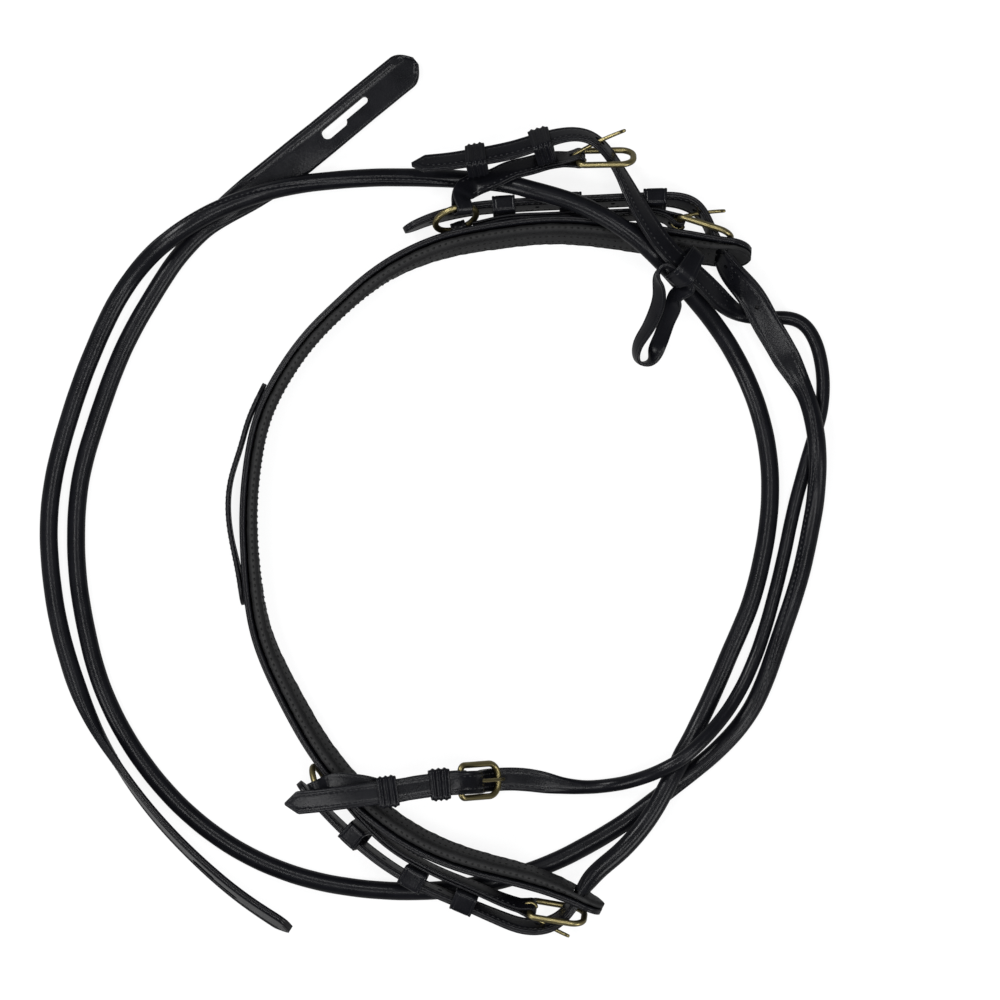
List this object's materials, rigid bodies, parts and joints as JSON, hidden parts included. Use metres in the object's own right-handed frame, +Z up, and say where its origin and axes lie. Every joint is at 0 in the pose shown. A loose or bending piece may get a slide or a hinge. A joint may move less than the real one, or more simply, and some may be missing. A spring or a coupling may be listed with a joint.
{
  "type": "driving harness breast collar",
  "caption": "Padded breast collar with a buckled neck strap on rings and rolled traces, laid out in loops; black leather and brass.",
  "frame": {"origin": "centre of the layout's bounding box on the floor it lies on", "axes": "+Z up from the floor, +Y towards the top of the layout as seen from above, +X to the right"},
  "size_m": [0.4497, 0.5026, 0.0546],
  "materials": {
    "collar_lining_leather": "soft sheen",
    "collar_outer_leather": "soft sheen",
    "martingale_loop_leather": "soft sheen",
    "neck_lower_buckle_frame_brass": "polished",
    "neck_lower_keeper_a_leather": "soft sheen",
    "neck_lower_keeper_b_leather": "soft sheen",
    "neck_lower_tongue_brass": "polished",
    "neck_strap_leather": "soft sheen",
    "neck_tab_lower_leather": "soft sheen",
    "neck_tab_upper_leather": "soft sheen",
    "neck_upper_buckle_frame_brass": "polished",
    "neck_upper_keeper_a_leather": "soft sheen",
    "neck_upper_keeper_b_leather": "soft sheen",
    "neck_upper_tongue_brass": "polished",
    "rein_loop_leather": "soft sheen",
    "rein_runner_leather": "soft sheen",
    "ring_chape_lower_leather": "soft sheen",
    "ring_chape_upper_leather": "soft sheen",
    "ring_lower_brass": "polished",
    "ring_upper_brass": "polished",
    "trace_lower_leather": "soft sheen",
    "trace_lower_buckle_frame_brass": "polished",
    "trace_lower_keeper_a_leather": "soft sheen",
    "trace_lower_keeper_b_leather": "soft sheen",
    "trace_lower_keeper_c_leather": "soft sheen",
    "trace_lower_tongue_brass": "polished",
    "trace_upper_leather": "soft sheen",
    "trace_upper_buckle_frame_brass": "polished",
    "trace_upper_keeper_a_leather": "soft sheen",
    "trace_upper_keeper_b_leather": "soft sheen",
    "trace_upper_keeper_c_leather": "soft sheen",
    "trace_upper_tongue_brass": "polished",
    "tug_lower_leather": "soft sheen",
    "tug_upper_leather": "soft sheen"
  },
  "bodies": {
    "harness": {"collar_lining": "collar_lining_leather", "collar_outer": "collar_outer_leather", "martingale_loop": "martingale_loop_leather", "neck_lower_buckle_frame": "neck_lower_buckle_frame_brass", "neck_lower_keeper_b": "neck_lower_keeper_b_leather", "neck_strap": "neck_strap_leather", "neck_tab_lower": "neck_tab_lower_leather", "neck_tab_upper": "neck_tab_upper_leather", "neck_upper_buckle_frame": "neck_upper_buckle_frame_brass", "neck_upper_keeper_b": "neck_upper_keeper_b_leather", "ring_chape_lower": "ring_chape_lower_leather", "ring_chape_upper": "ring_chape_upper_leather", "trace_lower": "trace_lower_leather", "trace_lower_buckle_frame": "trace_lower_buckle_frame_brass", "trace_lower_keeper_c": "trace_lower_keeper_c_leather", "trace_upper": "trace_upper_leather", "trace_upper_buckle_frame": "trace_upper_buckle_frame_brass", "trace_upper_keeper_c": "trace_upper_keeper_c_leather", "tug_lower": "tug_lower_leather", "tug_upper": "tug_upper_leather"},
    "neck_upper_tongue": {"neck_upper_tongue": "neck_upper_tongue_brass"},
    "trace_upper_tongue": {"trace_upper_tongue": "trace_upper_tongue_brass"},
    "trace_lower_tongue": {"trace_lower_tongue": "trace_lower_tongue_brass"},
    "neck_lower_tongue": {"neck_lower_tongue": "neck_lower_tongue_brass"},
    "ring_upper": {"ring_upper": "ring_upper_brass"},
    "ring_lower": {"ring_lower": "ring_lower_brass"},
    "neck_upper_keeper_a": {"neck_upper_keeper_a": "neck_upper_keeper_a_leather"},
    "neck_lower_keeper_a": {"neck_lower_keeper_a": "neck_lower_keeper_a_leather"},
    "trace_upper_keeper_a": {"trace_upper_keeper_a": "trace_upper_keeper_a_leather"},
    "trace_upper_keeper_b": {"trace_upper_keeper_b": "trace_upper_keeper_b_leather"},
    "trace_lower_keeper_a": {"trace_lower_keeper_a": "trace_lower_keeper_a_leather"},
    "trace_lower_keeper_b": {"trace_lower_keeper_b": "trace_lower_keeper_b_leather"},
    "rein_runner": {"rein_runner": "rein_runner_leather", "rein_loop": "rein_loop_leather"}
  },
  "joints": [
    {"name": "neck_upper_tongue_swing", "type": "hinge", "parent": "harness", "child": "neck_upper_tongue", "pos_m": [0.08219, 0.19207, 0.022], "axis": [0.008, -0.4567, 0.8896], "range_deg": [-5, 5]},
    {"name": "trace_upper_tongue_swing", "type": "hinge", "parent": "harness", "child": "trace_upper_tongue", "pos_m": [0.13862, 0.15502, 0.0145], "axis": [0.1184, 0.3534, 0.928], "range_deg": [-5, 5]},
    {"name": "trace_lower_tongue_swing", "type": "hinge", "parent": "harness", "child": "trace_lower_tongue", "pos_m": [0.05455, -0.23429, 0.024], "axis": [-0.0696, -0.4135, 0.9078], "range_deg": [-5, 5]},
    {"name": "neck_lower_tongue_swing", "type": "hinge", "parent": "harness", "child": "neck_lower_tongue", "pos_m": [0.01493, -0.16247, 0.0285], "axis": [-0.0265, 0.9993, 0.0277], "range_deg": [-6, 1]},
    {"name": "ring_upper_spin", "type": "hinge", "parent": "harness", "child": "ring_upper", "pos_m": [0.01208, 0.15765, 0.019], "axis": [-0.2842, 0.8359, -0.4695], "continuous": true},
    {"name": "ring_lower_spin", "type": "hinge", "parent": "harness", "child": "ring_lower", "pos_m": [-0.06395, -0.16498, 0.0202], "axis": [0.8894, 0.3879, 0.2419], "continuous": true},
    {"name": "neck_upper_keeper_a_slide", "type": "slide", "parent": "harness", "child": "neck_upper_keeper_a", "axis": [0.9844, 0.1615, 0.0699], "range_m": [-0.004, 0.004]},
    {"name": "neck_lower_keeper_a_slide", "type": "slide", "parent": "harness", "child": "neck_lower_keeper_a", "axis": [-0.9895, -0.137, 0.0457], "range_m": [-0.004, 0.004]},
    {"name": "trace_upper_keeper_a_slide", "type": "slide", "parent": "harness", "child": "trace_upper_keeper_a", "axis": [0.9979, 0.0645, 0], "range_m": [-0.004, 0.0005]},
    {"name": "trace_upper_keeper_b_slide", "type": "slide", "parent": "harness", "child": "trace_upper_keeper_b", "axis": [0.9991, 0.0412, 0.0002], "range_m": [-0.004, 0.004]},
    {"name": "trace_lower_keeper_a_slide", "type": "slide", "parent": "harness", "child": "trace_lower_keeper_a", "axis": [0.7418, -0.6592, 0.1232], "range_m": [-0.003, 0.004]},
    {"name": "trace_lower_keeper_b_slide", "type": "slide", "parent": "harness", "child": "trace_lower_keeper_b", "axis": [0.8773, -0.4701, 0.0967], "range_m": [-0.004, 0.004]},
    {"name": "rein_runner_slide", "type": "slide", "parent": "harness", "child": "rein_runner", "axis": [0.7225, -0.6098, -0.3257], "range_m": [-0.003, 0.003]}
  ]
}
